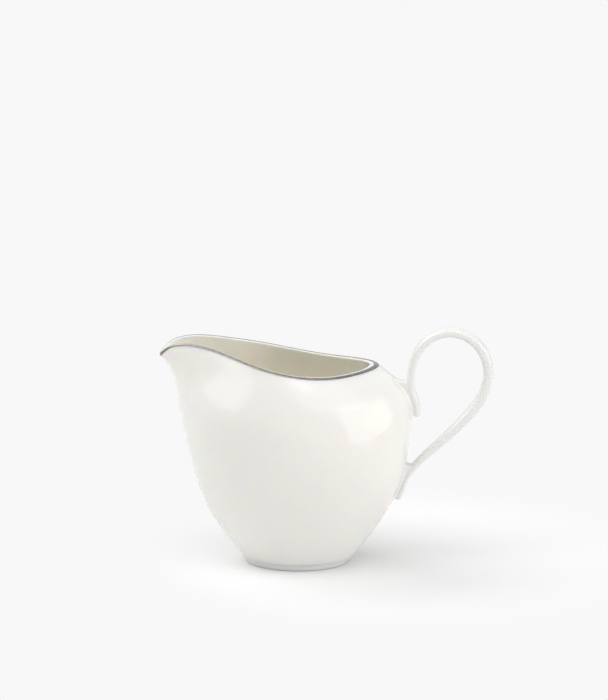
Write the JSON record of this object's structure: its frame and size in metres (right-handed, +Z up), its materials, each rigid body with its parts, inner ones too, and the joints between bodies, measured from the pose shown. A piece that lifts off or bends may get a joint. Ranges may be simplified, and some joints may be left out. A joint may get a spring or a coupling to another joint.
{
  "type": "cream jug",
  "caption": "Small oval porcelain cream jug with a drawn-out pouring lip, a looped strip handle and a thin metal line on its rim, for serving cream or milk.",
  "frame": {"origin": "the middle of the foot, in the plane that the jug stands on", "axes": "+Z up, -X towards the spout, +X towards the handle, +Y across the jug"},
  "size_m": [0.1429, 0.0792, 0.1027],
  "materials": {
    "glazed_porcelain": "clear gloss glaze over white porcelain",
    "foot_porcelain": "gloss glaze, ground bare along the standing edge",
    "handle_porcelain": "clear gloss glaze over white porcelain",
    "slip_glaze": "sponged slip under clear gloss glaze",
    "platinum_line": "burnished platinum-coloured metal, painted and fired on"
  },
  "bodies": {
    "root": {"body": "glazed_porcelain", "foot_ring": "foot_porcelain", "handle": "handle_porcelain", "upper_slip_joint": "slip_glaze", "lower_slip_joint": "slip_glaze", "rim_line": "platinum_line"}
  },
  "joints": []
}
